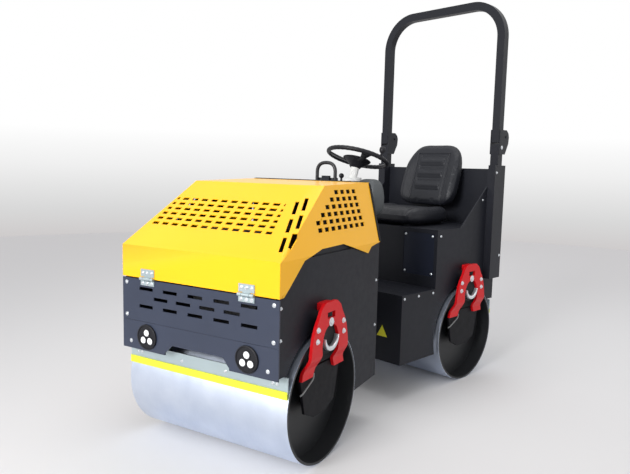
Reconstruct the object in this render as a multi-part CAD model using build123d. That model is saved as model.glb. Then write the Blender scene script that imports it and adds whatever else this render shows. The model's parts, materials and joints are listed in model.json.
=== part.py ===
"""Ride-on double-drum road roller with an articulated frame.

Millimetres, +Z up, the front looks along -Y and the operator's left is +X.
The steering pivot is built at x = y = 0 with the ground at z = 0, the rear frame
stands square to the axes and the front frame is turned about the pivot, as parked.
"""
from build123d import *
from math import atan2, cos, degrees, hypot, radians, sin
import os

# Driving dimensions
DRUM_R = 280
DRUM_HALF = 420
DRUM_SHELL = 12
DISC_X = 325
DISC_T = 12
AXLE = 750
ARCH_R = 300
FRAME_HALF = 400
PLATE = 8
PANEL_HALF = 410
NOSE = 328
SCRAPER_Y = 276
STEER = 14
HITCH_Z = 400
PIVOT_R = 20
RUN_FIT = 0.05

# Hood
HOOD_HALF = 410
HOOD_SHEET = 4
HOOD_FOLD_Z = 888
HOOD_HINGE_Z = 751
RIDGE_Y = 66
RIDGE_Z = 1158
RIDGE_HALF = 344
HOOD_REAR_Y = 522
HOOD_REAR_Z = 1167
SIDE_FOLD_Z = 887
HOOD_HINGE_X = 260

# Fork that carries each end of a drum
FORK_OUT = 452
FORK_T = 20
FOOT_OUT = 420
FOOT_Z = 392
HUB_R = 60
CARRIER_T = 12
BUFFER_R = 75
BUFFER_Z = 548

# Rear frame, counted rearwards from the pivot
REAR_FACE = 143
FLOOR_Z = 575
DECK_Y = 445
DECK_Z = 904
TANK_Y = 1010
TANK_Z = 1247
TAIL_Y = AXLE + NOSE

# Roll-over hoop
HOOP_X = 421
HOOP_Y = 998
HOOP_TUBE = 48
HOOP_TOP = 2223
HOOP_BEND = 200
FOLD_Y = 1048
FOLD_Z = 1440

# Steering wheel and column
WHEEL_C = (0, 212, 1293)
WHEEL_TILT = 18
WHEEL_R = 166
COLUMN_Y = 182
COLUMN_R = 46

# Steering cylinder, in the frame of the straight machine
CYL_X = -170
CYL_YOKE_Y = 90
CYL_EYE_Y = -330

parts = {}


def box(x0, x1, y0, y1, z0, z1):
    """Block between two corners."""
    centre = Pos((x0 + x1) / 2, (y0 + y1) / 2, (z0 + z1) / 2)
    return centre * Box(x1 - x0, y1 - y0, z1 - z0)


def side_plate(points, x0, x1):
    """Plate whose outline is drawn in side view as (y, z), between x0 and x1."""
    outline = make_face(Polyline(*points, close=True))
    side_view = Plane(origin=(x0, 0, 0), x_dir=(0, 1, 0), z_dir=(1, 0, 0))
    return extrude(side_view * outline, amount=x1 - x0, dir=(1, 0, 0))


def front_plate(points, y0, y1):
    """Plate whose outline is drawn in front view as (x, z), between y0 and y1."""
    outline = make_face(Polyline(*points, close=True))
    front_view = Plane(origin=(0, y0, 0), x_dir=(1, 0, 0), z_dir=(0, -1, 0))
    return extrude(front_view * outline, amount=y1 - y0, dir=(0, 1, 0))


def rod(start, end, radius, sides=0):
    """Round bar from one point to another, or one with flats where sides are given."""
    start, end = Vector(*start), Vector(*end)
    axis = Plane(origin=start, z_dir=end - start)
    if sides:
        return extrude(axis * RegularPolygon(radius, sides), amount=(end - start).length,
                       dir=end - start)
    return axis * Cylinder(radius, (end - start).length,
                           align=(Align.CENTER, Align.CENTER, Align.MIN))


def both_sides(shape):
    """The shape and its mirror image across the middle plane."""
    return [shape, mirror(shape, about=Plane.YZ)]


def join(*shapes):
    """One solid from shapes that meet."""
    result = shapes[0]
    for shape in shapes[1:]:
        result = result + shape
    return result


def group(shapes):
    """Separate like solids kept in one node."""
    solids = []
    for shape in shapes:
        solids.extend(shape.solids())
    return Compound(solids)


def front(shape):
    """From the front axle's own frame to its place on the turned front frame."""
    return Rot(0, 0, STEER) * Pos(0, -AXLE, 0) * shape


def rear(shape):
    """From the rear axle's own frame to its place on the rear frame."""
    return Pos(0, AXLE, 0) * shape


def drum():
    """Rolled shell with two recessed end discs, each bored for its hub."""
    shell = rod((-DRUM_HALF, 0, DRUM_R), (DRUM_HALF, 0, DRUM_R), DRUM_R)
    inside = rod((-DRUM_HALF, 0, DRUM_R), (DRUM_HALF, 0, DRUM_R), DRUM_R - DRUM_SHELL)
    discs = box(-DISC_X - DISC_T, DISC_X + DISC_T, -DRUM_R, DRUM_R, 0, 2 * DRUM_R)
    gap = box(-DISC_X, DISC_X, -DRUM_R, DRUM_R, 0, 2 * DRUM_R)
    bore = rod((-DRUM_HALF, 0, DRUM_R), (DRUM_HALF, 0, DRUM_R), HUB_R + RUN_FIT)
    return shell - (inside - (discs - gap)) - bore


FORK_OUTLINE = [(50, 692), (92, 664), (106, 640), (140, 612), (160, 570), (168, 500),
                (164, 440), (152, FOOT_Z), (76, FOOT_Z), (68, 440), (72, 510), (66, 550),
                (50, 582), (26, 594)]


def fork():
    """Bent plate in the shape of a two-legged fork, on the +X side."""
    half = FORK_OUTLINE
    outline = half + [(-y, z) for y, z in reversed(half)]
    flat = side_plate(outline, FRAME_HALF, FORK_OUT)
    foot_in = FOOT_OUT - FORK_T
    shank_in = FORK_OUT - FORK_T
    bend = front_plate([(FORK_OUT, 700), (FORK_OUT, 478), (FOOT_OUT, 418),
                        (FOOT_OUT, FOOT_Z), (foot_in, FOOT_Z), (foot_in, 424),
                        (shank_in, 484), (shank_in, 655), (FRAME_HALF, 655),
                        (FRAME_HALF, 700)], -200, 200)
    slot = box(FRAME_HALF - 5, FORK_OUT + 5, -39, 39, 622, 651)
    return (flat & bend) - slot


def buffer():
    """Round rubber mount behind the fork's arch, with its boss on the frame."""
    plate_in = FORK_OUT - FORK_T - 6.5
    disc = rod((plate_in, 0, BUFFER_Z), (FORK_OUT - FORK_T, 0, BUFFER_Z), BUFFER_R)
    boss = rod((FRAME_HALF, 0, 592), (plate_in, 0, 592), 24, 12)
    return disc + boss


def hub_carrier():
    """Plate that the fork's feet are bolted to, and the journal the drum runs on."""
    outer = FOOT_OUT - FORK_T
    inner = outer - CARRIER_T
    plate = side_plate([(-150, 420), (150, 420), (158, FOOT_Z), (120, 240), (50, 205),
                        (-50, 205), (-120, 240), (-158, FOOT_Z)], inner, outer)
    journal = rod((DISC_X - 7, 0, DRUM_R), (inner, 0, DRUM_R), HUB_R)
    return plate + journal


def scraper_bar():
    """Flat bar as wide as the drum, just above its face."""
    return box(-418, 418, -SCRAPER_Y, -SCRAPER_Y + 6, 378, 440)


def scraper_blade():
    """Thin blade on the bar's face, ending just off the drum."""
    return box(-418, 418, -SCRAPER_Y - 4, -SCRAPER_Y, 354, 385)


# Drums, forks, buffers, hubs and scrapers, the same at both ends
for name, place, turn in (("front", front, 0), ("rear", rear, 180)):
    parts[name + "_drum"] = place(drum())
    parts[name + "_forks"] = place(group(both_sides(fork())))
    parts[name + "_buffers"] = place(group(both_sides(buffer())))
    parts[name + "_hub_carriers"] = place(group(both_sides(hub_carrier())))
    parts[name + "_scraper_bar"] = place(Rot(0, 0, turn) * scraper_bar())
    parts[name + "_scraper_blade"] = place(Rot(0, 0, turn) * scraper_blade())


FRONT_OUTLINE = [(-NOSE + 6, 442), (-NOSE + 6, 745), (-262, 790), (-150, 868), (-130, 880),
                 (535, 880), (535, 222), (280, 206), (200, 206), (-240, 400),
                 (-SCRAPER_Y + 6, 414), (-SCRAPER_Y + 6, 442)]
BULKHEAD_Y = 527


def front_side_plate():
    """Side plate arched over the drum, with the lapped strip that backs the hood's edge."""
    arch = rod((-450, 0, DRUM_R), (450, 0, DRUM_R), ARCH_R)
    side = side_plate(FRONT_OUTLINE, FRAME_HALF - PLATE, FRAME_HALF) - arch
    strip = side_plate([(-60, 850), (-60, 905), (-10, 925), (400, 925), (500, 900),
                        (500, 850)], FRAME_HALF - 2 * PLATE, FRAME_HALF - PLATE)
    return side + strip


def front_chassis():
    """Deck over the drum, bulkhead behind it and the steering cylinder's bracket."""
    inner = FRAME_HALF - PLATE
    deck = box(-inner, inner, -NOSE + 6, BULKHEAD_Y, 600, 608)
    bulkhead = box(-inner, inner, BULKHEAD_Y, BULKHEAD_Y + PLATE, 222, 850)
    upper = box(-330, 330, 500, 508, 608, 1130)
    cylinder_gap = box(CYL_X - 65, CYL_X + 65, BULKHEAD_Y - 7, BULKHEAD_Y + 13, 345, 455)
    frame = join(deck, bulkhead, upper) - cylinder_gap
    for side in (-1, 1):
        rail_x = CYL_X + side * 56
        frame += box(rail_x - 4, rail_x + 4, 380, BULKHEAD_Y, 350, 600)
    for z in (372, 416):
        frame += box(CYL_X - 60, CYL_X + 60, 390, 440, z, z + 12)
    return frame


def front_hitch():
    """Two bored tongues behind the bulkhead, joined by a short box."""
    hitch = box(-60, 60, BULKHEAD_Y + PLATE, 640, 334, 466)
    hitch -= box(-50, 50, BULKHEAD_Y, 640, 334, 466)
    for z in (318, 466):
        hitch += box(-60, 60, BULKHEAD_Y + PLATE, AXLE, z, z + 16)
        hitch += rod((0, AXLE, z), (0, AXLE, z + 16), 60)
    return hitch - rod((0, AXLE, 300), (0, AXLE, 500), PIVOT_R)


parts["front_side_plates"] = front(group(both_sides(front_side_plate())))
parts["front_chassis"] = front(front_chassis())
parts["front_hitch"] = front(front_hitch())
parts["hitch_pin"] = front(join(
    rod((0, AXLE, 306), (0, AXLE, 494), PIVOT_R),
    rod((0, AXLE, 482), (0, AXLE, 494), 32, 6),
    rod((0, AXLE, 306), (0, AXLE, 318), 32, 6)))


def grille_panel():
    """Black panel below the hood's edge, with three staggered rows of slots."""
    panel = box(-PANEL_HALF, PANEL_HALF, -NOSE, -NOSE + 6, 564, 746)
    for z, places in ((706, (-271, -136, 0, 136, 271)), (669, (-188, -63, 63, 188)),
                      (630, (-272, -136, 0, 136, 272))):
        for x in places:
            panel -= box(x - 39, x + 39, -NOSE - 1, -NOSE + 7, z - 7, z + 7)
    return panel


def bumper_panel():
    """Lower black panel with the notch above the scraper bar."""
    panel = box(-PANEL_HALF, PANEL_HALF, -NOSE, -NOSE + 6, 438, 563)
    notch = front_plate([(-165, 430), (177, 430), (177, 447), (145, 485), (-123, 485),
                         (-165, 447)], -NOSE - 1, -NOSE + 7)
    return panel - notch


parts["front_grille_panel"] = front(grille_panel())
parts["front_bumper_panel"] = front(bumper_panel())

LAMP_X = 265
LAMP_Z = 500
lamp_bodies = []
lamp_lenses = []
for x in (-LAMP_X, LAMP_X):
    lamp_bodies.append(rod((x, -NOSE - 4, LAMP_Z), (x, -NOSE, LAMP_Z), 53, 24))
    for dx, dz in ((0, 18), (-19, -15), (19, -15)):
        lamp_lenses.append(rod((x + dx, -NOSE - 9, LAMP_Z + dz),
                               (x + dx, -NOSE - 4, LAMP_Z + dz), 15, 12))
parts["headlamp_housings"] = front(group(lamp_bodies))
parts["headlamp_lenses"] = front(group(lamp_lenses))

parts["engine_block"] = front(box(-170, 170, -150, 260, 608, 960))

post = join(box(-22, 22, AXLE - 62, AXLE - 43, 482, 1190),
            box(-60, 60, AXLE - 70, AXLE - 34, 482, 490))
parts["lifting_post"] = front(post)
eye_bend = 55
eye_path = FilletPolyline((-eye_bend, AXLE - 52, 1150), (-eye_bend, AXLE - 52, 1259),
                          (eye_bend, AXLE - 52, 1259), (eye_bend, AXLE - 52, 1150),
                          radius=eye_bend - 1)
eye_section = Plane(origin=eye_path @ 0, z_dir=eye_path % 0) * RegularPolygon(9.5, 8)
eye = sweep(eye_section, path=eye_path)
bridge = box(-64, 64, AXLE - 43, AXLE - 35, 1120, 1180)
parts["lifting_eye"] = front(eye + bridge)


def unit(*v):
    """Vector of length one."""
    return Vector(*v).normalized()


SLOPE = unit(0, HOOD_FOLD_Z - RIDGE_Z, RIDGE_Y + NOSE)
STRIP_LOW = Vector(386, -312, 898)
STRIP_HIGH = Vector(256, 45, 1144)
STRIP_CORNER = Vector(410, -326, 885)
STRIP = (STRIP_HIGH - STRIP_CORNER).cross(STRIP_LOW - STRIP_CORNER).normalized()
TOP = unit(0, RIDGE_Z - HOOD_REAR_Z, HOOD_REAR_Y - RIDGE_Y)
LEAN = unit(RIDGE_Z - SIDE_FOLD_Z, 0, HOOD_HALF - RIDGE_HALF)
LEAN_RIGHT = unit(SIDE_FOLD_Z - RIDGE_Z, 0, HOOD_HALF - RIDGE_HALF)


def hood_volume(inset, rear_edge):
    """Folded hood as a full block, with every outer face moved in by the inset."""
    block = box(-HOOD_HALF + inset, HOOD_HALF - inset, -NOSE + inset, rear_edge,
                HOOD_HINGE_Z, 1300)
    faces = [(Vector(0, -NOSE, HOOD_FOLD_Z), SLOPE), (STRIP_CORNER, STRIP),
             (Vector(0, RIDGE_Y, RIDGE_Z), TOP),
             (Vector(HOOD_HALF, 0, SIDE_FOLD_Z), LEAN),
             (Vector(-HOOD_HALF, 0, SIDE_FOLD_Z), LEAN_RIGHT)]
    for point, normal in faces:
        cut = Plane(origin=point - normal * inset, z_dir=normal)
        block = split(block, bisect_by=cut, keep=Keep.BOTTOM)
    return block


HOOD_SKIRT = [(-NOSE - 10, HOOD_HINGE_Z), (-299, 753), (-262, 783), (-158, 875),
              (-19, 906), (164, 909), (397, 844), (430, 872), (HOOD_REAR_Y + 5, 887),
              (HOOD_REAR_Y + 10, 740), (-NOSE - 10, 740)]

slope_plane = Plane(origin=(0, -NOSE, HOOD_FOLD_Z), x_dir=(1, 0, 0), z_dir=SLOPE)
FRONT_WINDOW = [(-366, 132), (292, 132), (246, 362), (-358, 362)]
SIDE_WINDOW = [(-45, 960), (398, 960), (376, 1146), (152, 1146)]
HOLE_W = 35
HOLE_H = 18


def window_prism(points):
    """Block through the sloping front sheet over an outline drawn on its face."""
    outline = make_face(Polyline(*points, close=True))
    return extrude(slope_plane * outline, amount=25, both=True)


def front_grille(panel):
    """Six rows of twelve oblong holes, cut off at the panel's slanting ends."""
    holes = []
    for row in range(6):
        up = 156 + 36 * row
        for column in range(12):
            x = 270 - 3 * row - 55.5 * column
            holes.append(slope_plane * Pos(x, up) * Rectangle(HOLE_W, HOLE_H))
    tools = Compound([extrude(hole, amount=15, both=True).solid() for hole in holes])
    border = [(-360, 136), (286, 136), (240, 357), (-352, 357)]
    return panel - (tools & window_prism(border))


def side_grille(panel, side):
    """Rows of four to eight holes that follow the hood's slanting front edge."""
    for row, count in enumerate((4, 5, 6, 7, 8, 8)):
        z = 1129 - 30 * row
        last = 344 + 5.4 * row
        for column in range(count):
            y = last - 54 * column
            panel -= box(side * 380 - 60, side * 380 + 60, y - 17, y + 17, z - 9, z + 9)
    return panel


def strip_slots():
    """Two columns of three long slots down the folded corner strip."""
    along = Vector(33, -93, -64).normalized()
    slots = []
    for start in (Vector(287, -27, 1093), Vector(314, 2, 1110)):
        for step in range(3):
            centre = start + along * (44 + 117 * step)
            centre -= STRIP * (centre - STRIP_CORNER).dot(STRIP)
            at = Plane(origin=centre, x_dir=along, z_dir=STRIP)
            slots.append(at * Box(88, 16, 24))
    return slots


def hood():
    """Folded sheet hood and the three perforated panels set flush in it."""
    outer = hood_volume(0, HOOD_REAR_Y)
    inner = hood_volume(HOOD_SHEET, HOOD_REAR_Y + 60)
    skirt = side_plate(HOOD_SKIRT, -450, 450)
    shell = outer - inner - skirt
    front_cut = window_prism(FRONT_WINDOW)
    left_cut = side_plate(SIDE_WINDOW, 300, 450)
    right_cut = side_plate(SIDE_WINDOW, -450, -300)
    grilles = [front_grille(shell & front_cut), side_grille(shell & left_cut, 1),
               side_grille(shell & right_cut, -1)]
    for cut in (front_cut, left_cut, right_cut, *strip_slots()):
        shell -= cut
    return shell, grilles


hood_shell, hood_grilles = hood()
parts["hood_shell"] = front(hood_shell)
for name, panel in zip(("front", "left", "right"), hood_grilles):
    parts["hood_" + name + "_grille"] = front(panel)

# Hood hinges: fixed leaf with the pin, moving leaf with the middle knuckle
HINGE_Y = -NOSE - 7
fixed_leaves = []
moving_leaves = []
for x in (-HOOD_HINGE_X, HOOD_HINGE_X):
    pin = rod((x - 38, HINGE_Y, HOOD_HINGE_Z), (x + 38, HINGE_Y, HOOD_HINGE_Z), 3)
    lower = box(x - 38, x + 38, -NOSE - 4, -NOSE, 722, HOOD_HINGE_Z - 10)
    ends = join(rod((x - 38, HINGE_Y, HOOD_HINGE_Z), (x - 20, HINGE_Y, HOOD_HINGE_Z), 7),
                rod((x + 20, HINGE_Y, HOOD_HINGE_Z), (x + 38, HINGE_Y, HOOD_HINGE_Z), 7))
    webs = join(box(x - 38, x - 20, -NOSE - 4, -NOSE, HOOD_HINGE_Z - 10, HOOD_HINGE_Z),
                box(x + 20, x + 38, -NOSE - 4, -NOSE, HOOD_HINGE_Z - 10, HOOD_HINGE_Z))
    fixed_leaves.append(join(lower, webs, ends, pin))
    knuckle = rod((x - 18, HINGE_Y, HOOD_HINGE_Z), (x + 18, HINGE_Y, HOOD_HINGE_Z), 7)
    upper = box(x - 38, x + 38, -NOSE - 4, -NOSE, HOOD_HINGE_Z + 9, 792)
    tab = box(x - 18, x + 18, -NOSE - 4, -NOSE, HOOD_HINGE_Z + 2, HOOD_HINGE_Z + 9)
    bore = rod((x - 19, HINGE_Y, HOOD_HINGE_Z), (x + 19, HINGE_Y, HOOD_HINGE_Z), 3 + RUN_FIT)
    moving_leaves.append(join(knuckle, upper, tab) - bore)
parts["hood_hinge_fixed"] = front(group(fixed_leaves))
parts["hood_hinge_moving"] = front(group(moving_leaves))

# Yoke between the two frames: boss on the pivot pin, shaft in the rear frame
boss = rod((0, 0, 340), (0, 0, 460), 44) - rod((0, 0, 330), (0, 0, 470), PIVOT_R + RUN_FIT)
shaft = rod((0, 30, HITCH_Z), (0, 222, HITCH_Z), 35)
shaft -= rod((0, 0, 330), (0, 0, 470), PIVOT_R + RUN_FIT)
collar = rod((0, 118, HITCH_Z), (0, 133, HITCH_Z), 58)
nut = rod((0, 220, HITCH_Z), (0, 236, HITCH_Z), 50, 6)
arm = side_plate([(70, 372), (110, 372), (110, 384), (70, 384)], CYL_X - 24, 0)
arm -= rod((0, 0, 330), (0, 0, 470), PIVOT_R + RUN_FIT)
yoke_pin = rod((CYL_X, CYL_YOKE_Y, 380), (CYL_X, CYL_YOKE_Y, 418), 12)
pin_cap = rod((CYL_X, CYL_YOKE_Y, 412), (CYL_X, CYL_YOKE_Y, 418), 18, 6)
parts["hitch_yoke"] = join(boss, shaft, collar, nut, arm, yoke_pin, pin_cap)

# Steering cylinder along the line from the yoke's pin to the front frame's ears
steer = radians(STEER)
eye_x = CYL_X * cos(steer) - CYL_EYE_Y * sin(steer)
eye_y = CYL_X * sin(steer) + CYL_EYE_Y * cos(steer)
CYL_LENGTH = hypot(eye_x - CYL_X, eye_y - CYL_YOKE_Y)
cylinder_plane = Plane(origin=(CYL_X, CYL_YOKE_Y, HITCH_Z),
                       x_dir=(0, 0, 1),
                       z_dir=(eye_x - CYL_X, eye_y - CYL_YOKE_Y, 0))
base_eye = rod((CYL_X, CYL_YOKE_Y, 390), (CYL_X, CYL_YOKE_Y, 410), 25)
base_eye -= rod((CYL_X, CYL_YOKE_Y, 380), (CYL_X, CYL_YOKE_Y, 420), 12 + RUN_FIT)
up = (Align.CENTER, Align.CENTER, Align.MIN)
neck = cylinder_plane * (Pos(0, 0, 0) * Box(20, 40, 60, align=up))
base_eye += neck - rod((CYL_X, CYL_YOKE_Y, 380), (CYL_X, CYL_YOKE_Y, 420), 12 + RUN_FIT)
tube = cylinder_plane * (Pos(0, 0, 50) * Cylinder(32, 235, align=up))
bore = cylinder_plane * (Pos(0, 0, 66) * Cylinder(16 + RUN_FIT, 250, align=up))
parts["steering_cylinder_barrel"] = (base_eye + tube) - bore
piston_rod = cylinder_plane * (Pos(0, 0, CYL_LENGTH - 240) * Cylinder(16, 225, align=up))
rod_eye = Pos(eye_x, eye_y, HITCH_Z) * Cylinder(25, 20)
parts["steering_cylinder_rod"] = (piston_rod + rod_eye) - (
    Pos(eye_x, eye_y, HITCH_Z) * Cylinder(12, 30))


def rear_chassis():
    """Welded rear frame: side plates arched over the drum, floor, bearing and tail."""
    a = AXLE
    outline = [(REAR_FACE, 200), (REAR_FACE, FLOOR_Z), (DECK_Y, FLOOR_Z), (DECK_Y, DECK_Z),
               (681, DECK_Z), (950, 1140), (950, TANK_Z), (TAIL_Y - 6, TANK_Z),
               (TAIL_Y - 6, 442), (a + SCRAPER_Y - 6, 442), (a + SCRAPER_Y - 6, 414),
               (a + 240, 400), (a - 200, 206), (a - 280, 200)]
    arch = rod((-450, a, DRUM_R), (450, a, DRUM_R), ARCH_R)
    side = side_plate(outline, FRAME_HALF - PLATE, FRAME_HALF) - arch
    inner = FRAME_HALF - PLATE
    face = box(-inner, inner, REAR_FACE, REAR_FACE + PLATE, 200, FLOOR_Z)
    floor = box(-inner, inner, REAR_FACE + PLATE, DECK_Y + 8, FLOOR_Z - PLATE, FLOOR_Z)
    over = box(-inner, inner, DECK_Y, TAIL_Y - 6, 592, 600)
    riser = box(-inner, inner, DECK_Y, DECK_Y + PLATE, FLOOR_Z - PLATE, 600)
    tail = box(-FRAME_HALF, FRAME_HALF, TAIL_Y - 6, TAIL_Y, 442, TANK_Z)
    bearing = rod((0, REAR_FACE, HITCH_Z), (0, 215, HITCH_Z), 60)
    bore = rod((0, REAR_FACE - 1, HITCH_Z), (0, 216, HITCH_Z), 35 + RUN_FIT)
    socket = rod((0, COLUMN_Y, FLOOR_Z - PLATE), (0, COLUMN_Y, FLOOR_Z + 1), COLUMN_R)
    frame = join(*both_sides(side), face, floor, over, riser, tail, bearing)
    return frame - bore - socket


parts["rear_chassis"] = rear_chassis()

INNER = FRAME_HALF - PLATE
pedestal = box(-INNER, INNER, DECK_Y, DECK_Y + PLATE, 600, DECK_Z)
deck = box(-INNER, INNER, DECK_Y, TANK_Y, DECK_Z - PLATE, DECK_Z)
cover_hole = box(170, 380, DECK_Y - 1, DECK_Y + PLATE + 1, 640, 880)
runners = [box(x - 20, x + 20, 520, 850, DECK_Z, DECK_Z + 14) for x in (-130, 130)]
parts["seat_pedestal"] = join((pedestal - cover_hole) + deck, *runners)
parts["access_cover"] = box(170, 380, DECK_Y + 2, DECK_Y + 6, 640, 880)
parts["rear_tank"] = box(-INNER, INNER, TANK_Y, TAIL_Y - 6, DECK_Z - PLATE, TANK_Z)

SEAT_LEAN = degrees(atan2(110, 320))
cushion = box(-240, 240, 448, 880, DECK_Z + 14, 1000)
cushion = fillet(cushion.edges().filter_by(Axis.Z), 50)
parts["seat_cushion"] = chamfer(cushion.edges().group_by(Axis.Z)[-1], 18)
back_outline = make_face(Polyline((-235, 0), (235, 0), (235, 240), (185, 400), (-185, 400),
                                  (-235, 240), close=True))
back_outline = fillet(back_outline.vertices(), 40)
back = extrude(back_outline, amount=70)
back_plane = Plane(origin=(0, 852, 1008), x_dir=(-1, 0, 0),
                   z_dir=(0, cos(radians(SEAT_LEAN)), -sin(radians(SEAT_LEAN))))
parts["seat_back"] = back_plane * back

# Steering column, console, lever, wheel and knob
tilt = radians(WHEEL_TILT)
axis_dir = Vector(0, sin(tilt), cos(tilt))
hub_c = Vector(*WHEEL_C)
column = rod((0, COLUMN_Y, FLOOR_Z - PLATE), (0, COLUMN_Y, 1180), COLUMN_R)
neck = rod(hub_c - axis_dir * 128, hub_c - axis_dir * 62, 24)
neck_bore = rod(hub_c - axis_dir * 130, hub_c - axis_dir * 61, 12 + RUN_FIT)
column_bore = rod(hub_c - axis_dir * 205, hub_c - axis_dir * 60, 12 + RUN_FIT)
parts["steering_column"] = (column + neck) - neck_bore - column_bore
console = front_plate([(COLUMN_R, 960), (COLUMN_R, 1180), (196, 1180), (220, 1080),
                       (180, 960)], 130, 240)
top_edges = console.edges().filter_by(Axis.Y).group_by(Axis.Z)[-1].sort_by(Axis.X)
parts["console"] = fillet(top_edges[-1], 42)
parts["drive_lever"] = join(rod((-46, COLUMN_Y, 1060), (-96, COLUMN_Y, 1060), 8, 12),
                            rod((-90, COLUMN_Y, 1060), (-98, 190, 1180), 6, 12),
                            rod((-97, 189, 1174), (-99, 191, 1204), 15, 12))

wheel_plane = Plane(origin=hub_c, x_dir=(1, 0, 0), z_dir=axis_dir)
rim_section = Plane(origin=(WHEEL_R, 0, 0), z_dir=(0, 1, 0)) * RegularPolygon(13.4, 8)
rim = wheel_plane * revolve(rim_section, axis=Axis.Z)
spokes = []
for angle in (90, 210, 330):
    a = radians(angle)
    start = wheel_plane.from_local_coords((20 * cos(a), 20 * sin(a), -24))
    end = wheel_plane.from_local_coords((WHEEL_R * cos(a), WHEEL_R * sin(a), 0))
    spokes.append(rod(start, end, 8, 8))
hub = rod(hub_c - axis_dir * 55, hub_c - axis_dir * 8, 30, 16)
spindle = rod(hub_c - axis_dir * 190, hub_c - axis_dir * 50, 12)
parts["steering_wheel"] = join(hub, spindle, *spokes)
parts["steering_rim"] = rim
knob_at = wheel_plane.from_local_coords((WHEEL_R, 0, 0))
parts["steering_knob"] = rod(knob_at + axis_dir * 13.4, knob_at + axis_dir * 62, 17, 12)


def rops_post():
    """Lower post on the +X side: box section, stub and the two fold lugs with their pin."""
    outer = box(FRAME_HALF, 446, 950, 1070, 582, 1269)
    inner = box(FRAME_HALF + 5, 441, 956, 1064, 576, 1262)
    stub = box(HOOP_X - 26, HOOP_X + 26, HOOP_Y - 24, HOOP_Y + 24, 1262, 1395)
    stub -= box(HOOP_X - 20, HOOP_X + 20, HOOP_Y - 18, HOOP_Y + 18, 1275, 1400)
    lug_outline = [(974, 1335), (974, 1480), (1050, 1480), (1072, 1462), (1080, 1440),
                   (1076, 1400), (1040, 1335)]
    lugs = [side_plate(lug_outline, HOOP_X - 32, HOOP_X - 26),
            side_plate(lug_outline, HOOP_X + 26, HOOP_X + 32)]
    pin = rod((HOOP_X - 38, FOLD_Y, FOLD_Z), (HOOP_X + 36, FOLD_Y, FOLD_Z), 8)
    return join(outer - inner, stub, *lugs, pin)


parts["rops_posts"] = group(both_sides(rops_post()))


def rops_hoop():
    """Square tube bent into a hoop, with an ear at each foot for the fold pin."""
    path = FilletPolyline((-HOOP_X, HOOP_Y, 1405), (-HOOP_X, HOOP_Y, HOOP_TOP),
                          (HOOP_X, HOOP_Y, HOOP_TOP), (HOOP_X, HOOP_Y, 1405),
                          radius=HOOP_BEND)
    section = Plane(origin=path @ 0, x_dir=(1, 0, 0), z_dir=path % 0)
    tube = sweep(section * Rectangle(HOOP_TUBE, HOOP_TUBE), path=path)
    core = sweep(section * Rectangle(HOOP_TUBE - 8, HOOP_TUBE - 8), path=path)
    hoop = tube - core
    for x in (-HOOP_X, HOOP_X):
        ear = join(box(x - 20, x + 20, HOOP_Y + 22, FOLD_Y, FOLD_Z - 22, FOLD_Z + 22),
                   rod((x - 20, FOLD_Y, FOLD_Z), (x + 20, FOLD_Y, FOLD_Z), 22))
        hoop += ear
    return hoop - rod((-500, FOLD_Y, FOLD_Z), (500, FOLD_Y, FOLD_Z), 8 + RUN_FIT)


parts["rops_hoop"] = rops_hoop()

parts["tail_lamps"] = group([box(x - 40, x + 40, TAIL_Y, TAIL_Y + 8, 470, 500)
                             for x in (-330, 330)])

# The stored part stands on z = 0 with its box centred over the origin
boxes = [shape.bounding_box() for shape in parts.values()]
SHIFT = (-(min(b.min.X for b in boxes) + max(b.max.X for b in boxes)) / 2,
         -(min(b.min.Y for b in boxes) + max(b.max.Y for b in boxes)) / 2, 0)

os.makedirs("parts", exist_ok=True)
for name, shape in parts.items():
    solids = [Pos(*SHIFT) * solid for solid in shape.solids()]
    export_step(solids[0] if len(solids) == 1 else Compound(solids), "parts/" + name + ".step")
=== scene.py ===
"""Ride-on double-drum road roller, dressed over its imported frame."""
import json
import math
import bmesh
import bpy
import numpy as np
from mathutils import Matrix, Vector


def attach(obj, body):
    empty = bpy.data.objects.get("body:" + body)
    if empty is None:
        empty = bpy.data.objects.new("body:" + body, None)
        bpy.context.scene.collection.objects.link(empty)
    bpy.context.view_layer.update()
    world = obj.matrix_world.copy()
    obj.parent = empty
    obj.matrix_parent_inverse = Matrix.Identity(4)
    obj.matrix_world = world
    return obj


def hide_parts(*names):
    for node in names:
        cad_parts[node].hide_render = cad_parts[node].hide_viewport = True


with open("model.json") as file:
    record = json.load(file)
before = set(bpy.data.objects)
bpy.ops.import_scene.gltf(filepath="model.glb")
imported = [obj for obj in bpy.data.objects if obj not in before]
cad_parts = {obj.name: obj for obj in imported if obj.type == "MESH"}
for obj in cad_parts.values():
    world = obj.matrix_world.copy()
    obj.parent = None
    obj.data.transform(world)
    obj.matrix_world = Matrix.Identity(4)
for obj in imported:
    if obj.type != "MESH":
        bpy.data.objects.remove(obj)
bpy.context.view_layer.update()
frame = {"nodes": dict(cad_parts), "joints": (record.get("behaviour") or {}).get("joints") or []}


# The camera stands at the front left corner at seat height and looks slightly down.
# Its place is measured from the steering pivot, which is the yoke's middle.
def joint_named(name):
    """The frame's joint of that name."""
    return next(joint for joint in frame["joints"] if joint["name"] == name)


def placed(name, data):
    """New object of a mesh, a lamp or a camera, linked into the scene."""
    thing = bpy.data.objects.new(name, data)
    bpy.context.scene.collection.objects.link(thing)
    return thing


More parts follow.
